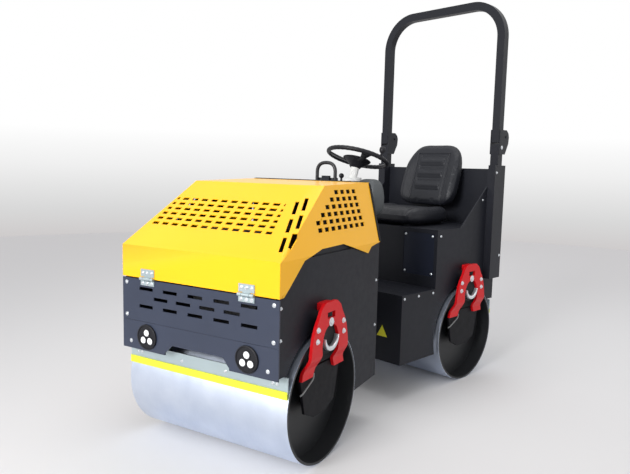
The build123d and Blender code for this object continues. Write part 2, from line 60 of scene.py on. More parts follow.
PIVOT = Vector(joint_named("articulated_steering")["pos_m"])
PIVOT.z = 0.0
EYE = PIVOT + Vector((2.3125, -2.4315, 1.2394))
YAW, PITCH, ROLL = math.radians(44.9), math.radians(6.54), math.radians(1.36)
SENSOR_MM, FOCAL_PIXELS, PICTURE_PIXELS = 36.0, 618.84, 630.0
forward = Vector((-math.sin(YAW) * math.cos(PITCH), math.cos(YAW) * math.cos(PITCH),
                  -math.sin(PITCH)))
level = Vector((math.cos(YAW), math.sin(YAW), 0.0))
upright = level.cross(forward)
right = level * math.cos(ROLL) + upright * math.sin(ROLL)
up = upright * math.cos(ROLL) - level * math.sin(ROLL)
lens = bpy.data.cameras.new("camera")
lens.sensor_width = SENSOR_MM
lens.sensor_fit = "HORIZONTAL"
lens.lens = SENSOR_MM * FOCAL_PIXELS / PICTURE_PIXELS
camera = placed("camera", lens)
camera.matrix_world = Matrix(((right.x, up.x, -forward.x, EYE.x),
                              (right.y, up.y, -forward.y, EYE.y),
                              (right.z, up.z, -forward.z, EYE.z),
                              (0, 0, 0, 1)))
bpy.context.scene.camera = camera
bpy.context.scene.view_settings.view_transform = "Standard"


# A pale studio: a wide round matt floor, a little lighter far out, and a surround that
# the camera and reflections see as white above, fading to pale grey below the horizon.
def feed(tree, node, inputs):
    """Links each input to the socket that is given for it, or sets it to the value."""
    for name, value in inputs.items():
        if isinstance(value, bpy.types.NodeSocket):
            tree.links.new(value, node.inputs[name])
        else:
            node.inputs[name].default_value = value


def shader_node(tree, kind, inputs, operation=None, data_type=None):
    """New node of a tree with its operation or data type chosen and its inputs fed."""
    node = tree.nodes.new("ShaderNode" + kind)
    if operation:
        node.operation = operation
    if data_type:
        node.data_type = data_type
    feed(tree, node, inputs)
    return node


FLOOR_RADIUS = 8.3
round_edge = np.linspace(0, 2 * np.pi, 180, endpoint=False)
floor_points = np.stack((FLOOR_RADIUS * np.cos(round_edge), FLOOR_RADIUS * np.sin(round_edge),
                         0 * round_edge), axis=-1)
floor_mesh = bpy.data.meshes.new("floor")
floor_mesh.from_pydata(floor_points.tolist(), [], [list(range(len(floor_points)))])
placed("floor", floor_mesh)
floor_paint = bpy.data.materials.new("floor_paint")
floor_paint.use_nodes = True
ground = floor_paint.node_tree
spot = shader_node(ground, "TexCoord", {})
far = shader_node(ground, "VectorMath", {0: spot.outputs["Object"]}, "LENGTH")
reach = shader_node(ground, "MapRange", {"From Min": 2.0, "From Max": 8.0,
                                         "Value": far.outputs["Value"]})
pale = shader_node(ground, "Mix", {"A": (0.70, 0.69, 0.69, 1), "B": (0.72, 0.70, 0.70, 1),
                                   "Factor": reach.outputs["Result"]}, data_type="RGBA")
feed(ground, ground.nodes["Principled BSDF"],
     {"Base Color": pale.outputs["Result"], "Roughness": 0.8, "Specular IOR Level": 0.1})
floor_mesh.materials.append(floor_paint)

world = bpy.data.worlds.new("surround")
bpy.context.scene.world = world
world.use_nodes = True
sky = world.node_tree
sky.nodes.clear()
rays = shader_node(sky, "LightPath", {})
seen = rays.outputs["Is Camera Ray"]
for kind in ("Is Transmission Ray", "Is Glossy Ray"):
    seen = shader_node(sky, "Math", {0: seen, 1: rays.outputs[kind]}, "MAXIMUM").outputs[0]
direction = shader_node(sky, "TexCoord", {})
height = shader_node(sky, "SeparateXYZ", {"Vector": direction.outputs["Generated"]})
span = shader_node(sky, "MapRange", {"From Min": -0.15, "From Max": 0.10,
                                     "Value": height.outputs["Z"]})
fade = shader_node(sky, "ValToRGB", {"Fac": span.outputs["Result"]})
lowest, highest = fade.color_ramp.elements
lowest.position, lowest.color = 0.16, (0.62, 0.60, 0.60, 1)
highest.position, highest.color = 0.80, (1, 1, 1, 1)
for position, tone in ((0.316, 0.69), (0.444, 0.775), (0.576, 0.87), (0.704, 0.94)):
    fade.color_ramp.elements.new(position).color = (tone, tone, tone, 1)
white = shader_node(sky, "Background", {"Color": fade.outputs["Color"], "Strength": 1.0})
dim = shader_node(sky, "Background", {"Color": (0.97, 0.98, 1.0, 1), "Strength": 0.80})
choose = shader_node(sky, "MixShader", {0: seen, 1: dim.outputs[0], 2: white.outputs[0]})
shader_node(sky, "OutputWorld", {"Surface": choose.outputs[0]})


def soft_lamp(name, place, target, size, watts, spread=180):
    """Square area lamp at one point, turned to face another; the spread is the whole
    angle of its beam in degrees."""
    light = bpy.data.lights.new(name, "AREA")
    light.size = size
    light.energy = watts
    light.spread = math.radians(spread)
    lamp = placed(name, light)
    lamp.location = place
    lamp.rotation_euler = (Vector(target) - Vector(place)).to_track_quat("-Z", "Y").to_euler()


soft_lamp("nose_lamp", (1.0, -6.6, 2.7), (0.1, -0.6, 0.85), 2.6, 56, 60)
soft_lamp("side_lamp", (4.4, 0.4, 2.4), (0.0, 0.2, 0.8), 2.0, 8)
soft_lamp("top_lamp", (0.2, 0.6, 4.8), (0.0, 0.2, 0.6), 2.6, 45)


# Paint, rubber, vinyl and plastic are all one recipe of slow colour change, finer
# roughness change and a bump whose grain is given in millimetres.
def coloured_finish(name, colour, roughness, grain_mm=1.2, bump=0.05, drift=0.10,
                    coat=0.0, metallic=0.0, soften=0.0012, specular=0.5):
    """Colour times one plus drift times slow noise, roughness plus a share of middling
    noise, and height from fine noise of the given grain laid over softened edges."""
    material = bpy.data.materials.new(name)
    material.use_nodes = True
    tree = material.node_tree
    place = shader_node(tree, "TexCoord", {}).outputs["Object"]
    slow = shader_node(tree, "TexNoise", {"Vector": place, "Scale": 4.0, "Detail": 3.0})
    low = [c * (1 - drift) for c in colour]
    high = [min(1.0, c * (1 + drift)) for c in colour]
    tint = shader_node(tree, "Mix", {"A": (*low, 1), "B": (*high, 1),
                                     "Factor": slow.outputs["Fac"]}, data_type="RGBA")
    middling = shader_node(tree, "TexNoise", {"Vector": place, "Scale": 35.0, "Detail": 4.0})
    spread = shader_node(tree, "MapRange", {"Value": middling.outputs["Fac"],
                                            "To Min": roughness * 0.8,
                                            "To Max": min(1.0, roughness * 1.25)})
    fine = shader_node(tree, "TexNoise", {"Vector": place, "Scale": 1000.0 / (grain_mm * 2),
                                          "Detail": 2.0})
    raised = shader_node(tree, "Bump", {"Height": fine.outputs["Fac"], "Strength": bump,
                                        "Distance": grain_mm / 1000.0})
    if soften:
        rounded = shader_node(tree, "Bevel", {"Radius": soften})
        rounded.samples = 4
        feed(tree, raised, {"Normal": rounded.outputs["Normal"]})
    feed(tree, tree.nodes["Principled BSDF"],
         {"Base Color": tint.outputs["Result"], "Roughness": spread.outputs["Result"],
          "Normal": raised.outputs["Normal"], "Coat Weight": coat, "Coat Roughness": 0.08,
          "Metallic": metallic, "Specular IOR Level": specular})
    return material


# Hood: one folded sheet with three punched panels let into it, in gloss amber enamel,
# hinged along its lower front edge and edged with a rubber strip at the back.
def dress(material, *names):
    """Gives a material to every slot of the named CAD nodes."""
    for name in names:
        node = frame["nodes"][name]
        if not node.material_slots:
            node.data.materials.append(material)
        for slot in node.material_slots:
            slot.material = material


hood_enamel = coloured_finish("hood_enamel", (0.96, 0.475, 0.006), 0.34, grain_mm=2.5,
                              bump=0.02, drift=0.05, coat=0.12, specular=0.3)
dress(hood_enamel, "hood_shell", "hood_front_grille", "hood_left_grille",
      "hood_right_grille")

# Side panels: the punched holes run on across the joint between each side panel and the
# folded sheet round it, so both are copied from the model and punched right through. The
# last long slot in the corner strip is widened inwards in the same cut.
STEER_WAY = joint_named("front_drum_roll")["axis"]
STEER = math.atan2(STEER_WAY[1], STEER_WAY[0])
AXLE = 750.0


def from_front(points):
    """Millimetres from the front axle's middle on the ground, x to the operator's left and
    y rearwards, moved forward of the pivot by the axle's distance and turned by the
    steering angle about it."""
    p = np.asarray(points, float) / 1000.0
    x, y = p[..., 0], p[..., 1] - AXLE / 1000.0
    return np.stack((PIVOT.x + x * math.cos(STEER) - y * math.sin(STEER),
                     PIVOT.y + x * math.sin(STEER) + y * math.cos(STEER),
                     p[..., 2]), axis=-1)


def joined(parts):
    """One list of points and faces from several, with the face numbers moved on."""
    points, faces, count = [], [], 0
    for some_points, some_faces in parts:
        flat = np.asarray(some_points).reshape(-1, 3)
        points.append(flat)
        faces += [[index + count for index in face] for face in some_faces]
        count += len(flat)
    return np.concatenate(points), faces


def bar_block(centre, along, outward, half_long, half_wide, half_deep):
    """Eight corners of a block: centre plus or minus each half size along its own axis,
    the third axis being square to the two that are given."""
    along = along / np.linalg.norm(along)
    outward = outward - along * np.dot(outward, along)
    outward = outward / np.linalg.norm(outward)
    across = np.cross(outward, along)
    u, v, w = np.meshgrid((-half_long, half_long), (-half_wide, half_wide),
                          (-half_deep, half_deep), indexing="ij")
    corners = (centre + u[..., None] * along + v[..., None] * across
               + w[..., None] * outward)
    return corners.reshape(-1, 3), [[0, 1, 3, 2], [4, 6, 7, 5], [0, 4, 5, 1], [2, 3, 7, 6],
                                    [0, 2, 6, 4], [1, 5, 7, 3]]


def baked(piece):
    """Works the piece's modifiers into its mesh."""
    graph = bpy.context.evaluated_depsgraph_get()
    mesh = bpy.data.meshes.new_from_object(piece.evaluated_get(graph))
    piece.modifiers.clear()
    piece.data = mesh


def punched(node, name, blocks):
    """Merged copy of a CAD mesh with the blocks cut out of it by a boolean."""
    sheet = placed(name, frame["nodes"][node].data.copy())
    sheet.modifiers.new("weld", "WELD").merge_threshold = 0.00002
    corners, faces = joined(blocks)
    punch_mesh = bpy.data.meshes.new("punch")
    punch_mesh.from_pydata(corners.tolist(), [], faces)
    punch = placed("punch", punch_mesh)
    cut = sheet.modifiers.new("cut", "BOOLEAN")
    cut.operation = "DIFFERENCE"
    cut.solver = "EXACT"
    cut.object = punch
    baked(sheet)
    bpy.data.objects.remove(punch)
    mesh = sheet.data
    mesh.materials.clear()
    mesh.materials.append(hood_enamel)
    mesh.polygons.foreach_set("material_index", np.zeros(len(mesh.polygons), dtype=np.int32))
    mesh.shade_smooth()
    mesh.set_sharp_from_angle(angle=math.radians(25))
    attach(sheet, "hood")
    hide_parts(node)


HOLES_IN_ROW = (4, 5, 6, 7, 8, 8)
REAR_HOLE_Y, TOP_ROW_Z = 344, 1129.0
HOLE_PITCH, ROW_PITCH, ROW_SHIFT = 54, 30, 5.4
HOLE_HALF_LONG, HOLE_HALF_WIDE = 16.9, 8.9
all_holes = []
for side, word in ((1, "left"), (-1, "right")):
    holes = []
    for row, count in enumerate(HOLES_IN_ROW):
        for column in range(count):
            centre = np.array((side * 380.0, REAR_HOLE_Y + ROW_SHIFT * row
                               - HOLE_PITCH * column, TOP_ROW_Z - ROW_PITCH * row))
            points, faces = bar_block(centre, np.array((0.0, 1.0, 0.0)),
                                      np.array((1.0, 0.0, 0.0)), HOLE_HALF_LONG,
                                      HOLE_HALF_WIDE, 62)
            holes.append((from_front(points), faces))
    punched("hood_%s_grille" % word, "hood_%s_panel" % word, holes)
    all_holes += holes
strip_corner, strip_top, strip_low = np.array(((410, -326, 885), (256, 45, 1144),
                                               (386, -312, 898)), float)
strip_out = np.cross(strip_top - strip_corner, strip_low - strip_corner)
strip_out /= np.linalg.norm(strip_out)
slot_along = np.array((33.0, -93.0, -64.0)) / np.linalg.norm((33, -93, -64))
slot_middle = np.array((314.0, 2.0, 1110.0)) + slot_along * 278
slot_middle -= strip_out * np.dot(slot_middle - strip_corner, strip_out)
inwards = np.cross(strip_out, slot_along)
SLOT_SHIFT, SLOT_HALF_LONG, SLOT_HALF_WIDE, SLOT_HALF_DEEP = 4.0, 43.9, 7.9, 12
slot_middle -= inwards * np.sign(inwards[0]) * SLOT_SHIFT
points, faces = bar_block(slot_middle, slot_along, strip_out, SLOT_HALF_LONG, SLOT_HALF_WIDE,
                          SLOT_HALF_DEEP)
punched("hood_shell", "hood_sheet", all_holes + [(from_front(points), faces)])


# Shade sheets: near-black foam inside the two punched side panels, a painted shade for the dark
# inside of the hood seen through the holes, which also keeps light from passing from one side to
# the other. They lie parallel to the panels, which lean inwards.
def ring_faces(rings, sides, closed=False):
    """Quads between neighbouring rings of points, and a cap on each end ring; ring i,
    point j is number i times sides plus j, and j runs round to its start."""
    i, j = np.meshgrid(np.arange(rings if closed else rings - 1), np.arange(sides),
                       indexing="ij")
    nexti, nextj = (i + 1) % rings, (j + 1) % sides
    quads = np.stack((i * sides + j, i * sides + nextj, nexti * sides + nextj,
                      nexti * sides + j), axis=-1).reshape(-1, 4)
    faces = quads.tolist()
    if not closed:
        faces.append(np.arange(sides)[::-1].tolist())
        faces.append((np.arange(sides) + (rings - 1) * sides).tolist())
    return faces


def make_piece(name, points, faces, material, body, slot, crease=38):
    """Mesh object at the origin, smooth but for edges sharper than the crease angle."""
    mesh = bpy.data.meshes.new(name)
    mesh.from_pydata(np.asarray(points).reshape(-1, 3).tolist(), [], faces)
    mesh.materials.append(material)
    mesh.shade_smooth()
    mesh.set_sharp_from_angle(angle=math.radians(crease))
    piece = placed(name, mesh)
    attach(piece, body)
    return piece


# Near-black painted shade: it stands for the shaded inside of the hood behind the punched holes.
foam = coloured_finish("hood_shade_sheet", (0.006, 0.006, 0.0065), 0.9, grain_mm=2.5, bump=0.5,
                       drift=0.3, soften=0, specular=0.1)
PANEL_FOOT_X, PANEL_FOOT_Z = 410, 887
shade_sheets = []
for side in (1, -1):
    y, z = np.array(((-38, 963), (395, 963), (373, 1146), (160, 1146)), float).T
    panel_x = PANEL_FOOT_X - (z - PANEL_FOOT_Z) * 66 / 271
    layers = [np.stack((side * (panel_x - inset), y, z), -1) for inset in (5.5, 11.5)]
    faces = ring_faces(2, 4)
    if side > 0:
        faces = [face[::-1] for face in faces]
    shade_sheets.append((from_front(np.stack(layers)), faces))
make_piece("side_shade_sheets", *joined(shade_sheets), foam, "hood", "rubber", 30)


# Edge rubber and seal: a moulded strip pushed on the hood's rear edge, and a flat strip
# of the same rubber round the front frame's upper plate, which the edge closes over.
def way(place, vector):
    """Direction in the row's axes of a vector that is given in a group's own axes."""
    return place(vector) - place((0, 0, 0))


def rounded_path(corners, radius, step=6.0):
    """Straight runs between corners in millimetres, each corner replaced by the quadratic
    curve from radius before it to radius after it."""
    corners = np.asarray(corners, float)
    runs = [corners[:1]]
    for before, corner, after in zip(corners[:-2], corners[1:-1], corners[2:]):
        start = corner + (before - corner) / np.linalg.norm(before - corner) * radius
        end = corner + (after - corner) / np.linalg.norm(after - corner) * radius
        t = np.linspace(0, 1, max(4, int(radius / step) + 2))[:, None]
        runs.append((1 - t) ** 2 * start + 2 * t * (1 - t) * corner + t ** 2 * end)
    runs.append(corners[-1:])
    return np.concatenate(runs)


def swell(value, power):
    """The value's size raised to a power, with its sign kept."""
    return np.sign(value) * np.abs(value) ** power


def carried(path, side, wide, thick, sides=16, power=2.0, closed=False):
    """Section carried along a path: each ring is the path's point plus wide times a
    rounded cosine along the normal and thick times a rounded sine along the given side
    direction, where rounded means raised to two over the power with its sign kept."""
    path = np.asarray(path, float)
    if closed:
        tangent = np.roll(path, -1, axis=0) - np.roll(path, 1, axis=0)
    else:
        tangent = np.gradient(path, axis=0)
    tangent /= np.linalg.norm(tangent, axis=1, keepdims=True)
    side = np.broadcast_to(np.asarray(side, float), path.shape)
    side = side - tangent * np.sum(side * tangent, axis=1, keepdims=True)
    side /= np.linalg.norm(side, axis=1, keepdims=True)
    normal = np.cross(side, tangent)
    angle = np.linspace(0, 2 * np.pi, sides, endpoint=False)
    c = swell(np.cos(angle), 2 / power)
    s = swell(np.sin(angle), 2 / power)
    wide = np.broadcast_to(np.asarray(wide, float), len(path))[:, None, None]
    thick = np.broadcast_to(np.asarray(thick, float), len(path))[:, None, None]
    points = (path[:, None, :] + wide * c[None, :, None] * normal[:, None, :]
              + thick * s[None, :, None] * side[:, None, :])
    return points, ring_faces(len(path), sides, closed)


rubber = coloured_finish("mount_rubber", (0.009, 0.009, 0.010), 0.7, grain_mm=1.0, bump=0.15,
                         drift=0.3, specular=0.3)
REARWARDS = way(from_front, (0, 1, 0))
edge = rounded_path([(409, 519, 890), (343, 519, 1166), (-343, 519, 1166), (-409, 519, 890)],
                    16)
make_piece("hood_edge_rubber", *carried(from_front(edge), REARWARDS, 0.005, 0.008, 12, 3.0),
           rubber, "hood", "rubber")
seal = rounded_path([(387, 504, 893), (326, 504, 1142), (-326, 504, 1142), (-387, 504, 893)],
                    20)
make_piece("hood_seal", *carried(from_front(seal), REARWARDS, 0.0155, 0.0038, 16, 5.0),
           rubber, "front_frame", "rubber")


# Frames: welded plate in charcoal powder coat with a fine dry grain. The rear frame
# carries a small blank triangle of yellow sheet on its front face.
def from_rear(points):
    """Millimetres from the pivot on the ground, along the row's own axes."""
    return np.asarray(points, float) / 1000.0 + np.array((PIVOT.x, PIVOT.y, 0.0))


powder_coat = coloured_finish("powder_coat", (0.0115, 0.0125, 0.0175), 0.44, grain_mm=0.9,
                              bump=0.10, drift=0.22, specular=0.20)
dress(powder_coat, "front_chassis", "front_side_plates", "front_hitch", "rear_chassis",
      "rear_tank", "hitch_yoke", "seat_pedestal", "lifting_post")
dress(coloured_finish("hoop_coat", (0.012, 0.013, 0.018), 0.38, grain_mm=0.9, bump=0.1,
                      drift=0.2, specular=0.25), "rops_posts", "rops_hoop")
dress(coloured_finish("cover_coat", (0.011, 0.014, 0.026), 0.35, grain_mm=0.9, bump=0.1,
                      drift=0.2, specular=0.25), "access_cover")
# The front grille and bumper panels are black tinted blue: the blue is a painted reflection of
# blue light.
dress(coloured_finish("panel_coat_blue_reflection", (0.026, 0.034, 0.060), 0.36, grain_mm=0.9, bump=0.08,
                      drift=0.2, coat=0.05, specular=0.45), "front_grille_panel",
      "front_bumper_panel")
sign_yellow = coloured_finish("sign_yellow", (0.78, 0.74, 0.02), 0.4, grain_mm=2.0,
                              bump=0.03, drift=0.06)
outline = [(275 + radius * math.cos(turn), y, 356 + radius * math.sin(turn))
           for radius, y in ((40, 142.8), (40, 141.4), (37, 140.8))
           for turn in np.radians((90, 210, 330))]
make_piece("triangle_plate", from_rear(outline), ring_faces(3, 3), sign_yellow, "rear_frame",
           "blade_paint", 20)

# Forks and hub carriers: thick bent plate in signal red, bolted to dark carrier plates
# sunk in the drums' ends.
fork_red = coloured_finish("fork_red", (0.62, 0.004, 0.008), 0.36, grain_mm=1.5, bump=0.05,
                           drift=0.10, coat=0.04, specular=0.22)
PLATE_OUT, PLATE_IN = 446.0, 432.0
LEG_TOP, LEG_SET = 484, 30


def from_rear_axle(points):
    """Millimetres from the rear axle's middle on the ground, along the row's own axes."""
    return from_rear(np.asarray(points, float) + (0, AXLE, 0))


def fork_plate(side):
    """Half outline in y and z, filled front and back, with walls round it; each leg goes
    on down as rings of four corners whose x falls by the leg's set along a smooth step,
    three t squared less two t cubed, and the whole half is mirrored in y."""
    outer = rounded_path([(0, 0, 692), (0, 46, 692), (0, 80, 668), (0, 95, 638),
                          (0, 115, 611), (0, 135, 570), (0, 146, 520),
                          (0, 151, LEG_TOP)], 9, 3.0)
    inner = rounded_path([(0, 65, LEG_TOP), (0, 68, 515), (0, 61, 552), (0, 45, 580),
                          (0, 22, 594), (0, 0, 597)], 8, 3.0)
    gap = np.array([(0, 0, 624), (0, 31, 624), (0, 31, 650), (0, 0, 650)], float)
    loop = np.concatenate((outer, inner, gap))
    count = len(loop)
    near, back = loop.copy(), loop.copy()
    near[:, 0], back[:, 0] = PLATE_OUT, PLATE_IN
    faces = [list(range(count)), list(range(2 * count - 1, count - 1, -1))]
    open_edges = (len(outer) - 1, len(outer) + len(inner) - 1, count - 1)
    faces += [[i, count + i, count + (i + 1) % count, (i + 1) % count]
              for i in range(count) if i not in open_edges]
    z = np.array((LEG_TOP, 474, 463, 451, 439, 428, 418, 392), float)
    t = np.clip((LEG_TOP - z) / 66, 0, 1)
    drop = LEG_SET * t * t * (3 - 2 * t)
    y_out = np.interp(z, (392, 440, LEG_TOP), (171, 158, 151))
    y_in = np.interp(z, (392, 440, LEG_TOP), (88, 66, 65))
    leg = np.stack((np.stack((PLATE_OUT - drop, y_out, z), -1),
                    np.stack((PLATE_OUT - drop, y_in, z), -1),
                    np.stack((PLATE_IN - drop, y_in, z), -1),
                    np.stack((PLATE_IN - drop, y_out, z), -1)), axis=1)
    leg_faces = ring_faces(len(z), 4)
    del leg_faces[-2]
    points, faces = joined([(np.concatenate((near, back)), faces), (leg, leg_faces)])
    both = np.concatenate((points, points * (1, -1, 1)))
    faces += [[i + len(points) for i in reversed(face)] for face in faces]
    neck = carried([(399, 0, 671), (399.5, 0, 671), (420, 0, 671), (436, 0, 671),
                    (436.5, 0, 671)], (0, 0, 1), 42, 17, 24, 7.0)
    points, faces = joined([(both, faces), neck])
    return points * (side, 1, 1), faces


for group, place in (("front", from_front), ("rear", from_rear_axle)):
    points, faces = joined([fork_plate(side) for side in (1, -1)])
    plates = make_piece(group + "_fork_plates", place(points), faces, fork_red,
                        group + "_frame", "red_paint", 30)
    shaped = bmesh.new()
    shaped.from_mesh(plates.data)
    bmesh.ops.remove_doubles(shaped, verts=shaped.verts, dist=0.00002)
    bmesh.ops.recalc_face_normals(shaped, faces=shaped.faces)
    shaped.to_mesh(plates.data)
    shaped.free()
    plates.data.set_sharp_from_angle(angle=math.radians(30))
    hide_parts(group + "_forks")
    dress(fork_red, group + "_forks")
dress(coloured_finish("carrier_black", (0.007, 0.007, 0.009), 0.55, grain_mm=1.5, bump=0.06,
                      drift=0.25, specular=0.15), "front_hub_carriers", "rear_hub_carriers")

# Buffers: rubber discs behind the forks' arches, each held by a bright pressed lip that
# stands out through the arch, with a steel line below that runs into the drum's recess.
dress(rubber, "front_buffers", "rear_buffers")
bright_zinc = coloured_finish("bright_zinc", (0.72, 0.75, 0.78), 0.30, grain_mm=1.5,
                              bump=0.04, drift=0.12, metallic=0.8)
line_steel = coloured_finish("line_steel", (0.22, 0.23, 0.23), 0.45, grain_mm=1.0, bump=0.08,
                             drift=0.25, metallic=0.4)
BUFFER_Z, LIP_RADIUS = 548.0, 54
a = np.linspace(math.radians(186), math.radians(354), 44)
crescent = 0.0012 + 0.0092 * np.sin((a - a[0]) / (a[-1] - a[0]) * np.pi)
for group, place in (("front", from_front), ("rear", from_rear_axle)):
    lips, pipes = [], []
    for side in (-1, 1):
        outward = way(place, (side, 0, 0))
        arc = np.stack((np.full(44, side * 443.5), LIP_RADIUS * np.cos(a),
                        BUFFER_Z + 2 + LIP_RADIUS * np.sin(a)), axis=-1)
        lips.append(carried(place(arc), outward, crescent, 0.0115, 16, 4.0))
        run = rounded_path([(side * 403, -60, 398), (side * 409, -72, 378),
                            (side * 409, -150, 338), (side * 402, -162, 330)], 9)
        pipes.append(carried(place(run), outward, 0.0036, 0.0036, 10))
    make_piece(group + "_buffer_lips", *joined(lips), bright_zinc, group + "_frame", "zinc")
    make_piece(group + "_recess_pipes", *joined(pipes), line_steel, group + "_frame", "zinc")


# Bolts: zinc-plated hexagon heads on washers, wherever panels and brackets are fixed.
# Each group of heads is one piece that rides with the plate it holds.
def turned(profile, centre, axis, sides=32, flats=0):
    """Profile of radius and height turned about an axis through the centre; with flats,
    the radius follows a regular polygon instead of a circle."""
    w = np.asarray(axis, float) / np.linalg.norm(axis)
    u = np.cross(w, (0.0, 0.0, 1.0) if abs(w[2]) < 0.9 else (0.0, 1.0, 0.0))
    u /= np.linalg.norm(u)
    v = np.cross(w, u)
    angle = np.linspace(0, 2 * np.pi, sides, endpoint=False)
    shape = np.ones(sides)
    if flats:
        step = 2 * np.pi / flats
        shape = np.cos(step / 2) / np.cos((angle % step) - step / 2)
    radius = np.asarray([p[0] for p in profile])[:, None] * shape[None, :]
    height = np.asarray([p[1] for p in profile])[:, None]
    points = (np.asarray(centre, float) + (radius * np.cos(angle))[..., None] * u
              + (radius * np.sin(angle))[..., None] * v
              + (height * np.ones(sides))[..., None] * w)
    return points, ring_faces(len(profile), sides)


def bolts(name, places, axis, radius, body, rise=1.0):
    """Washer, bevelled hexagon and small crown, one turned profile repeated at each
    place with its axis along the outward direction, its height times the rise."""
    r = radius / 1000.0
    h = r * rise
    profile = [(1.45 * r, -0.0003), (1.45 * r, 0.18 * h), (1.28 * r, 0.26 * h),
               (1.0 * r, 0.26 * h), (1.0 * r, 0.80 * h), (0.84 * r, 0.95 * h),
               (0.3 * r, 0.97 * h)]
    heads = []
    for place in places:
        points, faces = turned(profile, place, axis, 12)
        flat_points, _ = turned(profile, place, axis, 12, 6)
        points[3:6] = flat_points[3:6]
        heads.append((points, faces))
    make_piece(name, *joined(heads), bright_zinc, body, "zinc", 25)


FORK_BOLTS = ((-104, 592), (-108, 546), (104, 592), (108, 546))
EYE_BOLT_Z = 607
FORWARDS = way(from_front, (0, -1, 0))
for side, word in ((1, "left"), (-1, "right")):
    outward = way(from_front, (side, 0, 0))
    bolts("front_fork_bolts_" + word,
          from_front([(side * PLATE_OUT, y, z) for y, z in FORK_BOLTS]), outward, 8.5,
          "front_frame")
    bolts("front_fork_eye_bolt_" + word, from_front([(side * PLATE_OUT, 0, EYE_BOLT_Z)]),
          outward, 13.0, "front_frame", 0.6)
    bolts("front_side_bolts_" + word,
          from_front([(side * 400, y, z) for y, z in ((-303, 711), (-303, 588), (512, 700),
                                                      (512, 480))]),
          outward, 5.0, "front_frame")
    bolts("rear_fork_bolts_" + word,
          from_rear_axle([(side * PLATE_OUT, y, z) for y, z in FORK_BOLTS]), (side, 0, 0),
          8.5, "rear_frame")
    bolts("rear_fork_eye_bolt_" + word, from_rear_axle([(side * PLATE_OUT, 0, EYE_BOLT_Z)]),
          (side, 0, 0), 13.0, "rear_frame", 0.6)
    bolts("rear_side_bolts_" + word,
          from_rear([(side * 400, y, z) for y, z in ((165, 556), (290, 556), (425, 556),
                                                     (478, 868), (905, 1060))]),
          (side, 0, 0), 5.0, "rear_frame")
    bolts("post_bolts_" + word,
          from_rear([(side * 446, y, z) for y, z in ((968, 1225), (1052, 720))]),
          (side, 0, 0), 5.5, "rear_frame")
    bolts("hoop_stub_bolt_" + word, from_rear([(side * 453, 1000, 1375)]), (side, 0, 0), 8,
          "rear_frame", 0.45)
bolts("panel_bolts", from_front([(x, -328, z) for x, z in ((-362, 470), (362, 470),
                                                           (-386, 585), (386, 585),
                                                           (-386, 726), (386, 726))]),
      FORWARDS, 6.0, "front_frame", 0.7)
BAR_BOLTS_X = (-370, -350, -117, 117, 350, 370)
bolts("front_bar_bolts", from_front([(x, -276, 409) for x in BAR_BOLTS_X]), FORWARDS, 5.0,
      "front_frame")
bolts("rear_bar_bolts", from_rear_axle([(x, 276, 409) for x in BAR_BOLTS_X]), (0, 1, 0), 5.0,
      "rear_frame")
for leaf, z, body in (("lower", 732, "front_frame"), ("upper", 777, "hood")):
    bolts("hinge_bolts_" + leaf, from_front([(x + dx, -332, z) for x in (-260, 260)
                                             for dx in (-25, 0, 25)]), FORWARDS, 5.5, body)
bolts("cover_bolts", from_rear([(x, 447, z) for x in (184, 366) for z in (654, 866)]),
      (0, -1, 0), 5.0, "rear_frame")
bolts("tail_bolts", from_rear([(x, 1078, z) for x in (-380, 380) for z in (560, 860, 1210)]),
      (0, 1, 0), 6.0, "rear_frame")

# Headlamps: black housings with a rolled bezel, a shallow dark reflector bowl and three
# domed white bulbs each. The bulbs stand in collars of the same black moulding.
moulding = coloured_finish("black_moulding", (0.009, 0.009, 0.012), 0.45, grain_mm=0.6,
                           bump=0.15, drift=0.15, specular=0.28)
dress(moulding, "headlamp_housings")
bezels, bulbs, collars = [], [], []
LAMP_Z = 500
dome_turn = np.linspace(0, np.pi / 2 * 0.96, 8)
dome_profile = [(0.0148, -0.0002), (0.0148, 0.0015)] + [
    (0.0142 * math.cos(a), 0.0015 + 0.0055 * math.sin(a)) for a in dome_turn]
for x in (-265, 265):
    bezels.append(turned([(r / 1000, h / 1000) for r, h in
                          ((51, 0), (54.5, 0), (55, 3), (54, 7), (51, 8), (48.5, 6),
                           (47.5, 4.2), (47.5, 3.8))],
                         from_front((x, -328, LAMP_Z)), FORWARDS, 64))
    for dx, dz in ((0, 18), (-19, -15), (19, -15)):
        centre = from_front((x + dx, -332, LAMP_Z + dz))
        bulbs.append(turned(dome_profile, centre, FORWARDS, 24))
        collars.append(turned([(0.0150, -0.0002), (0.0178, 0), (0.0178, 0.002),
                               (0.0165, 0.0032), (0.0150, 0.0026), (0.01499, 0.0)], centre,
                              FORWARDS, 24))
make_piece("headlamp_bezels", *joined(bezels), moulding, "front_frame", "black_plastic")
make_piece("headlamp_collars", *joined(collars), moulding, "front_frame", "black_plastic")
bulb_white = coloured_finish("bulb_white", (0.90, 0.91, 0.93), 0.12, grain_mm=3.0, bump=0.04,
                             drift=0.02, coat=0.8)
lamp_domes = make_piece("headlamp_bulbs", *joined(bulbs), bulb_white, "front_frame",
                        "lamp_lens")
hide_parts("headlamp_lenses")
dress(bulb_white, "headlamp_lenses")
dress(coloured_finish("tail_red", (0.55, 0.01, 0.01), 0.15, grain_mm=3.0, bump=0.1,
                      drift=0.05, coat=0.6), "tail_lamps")

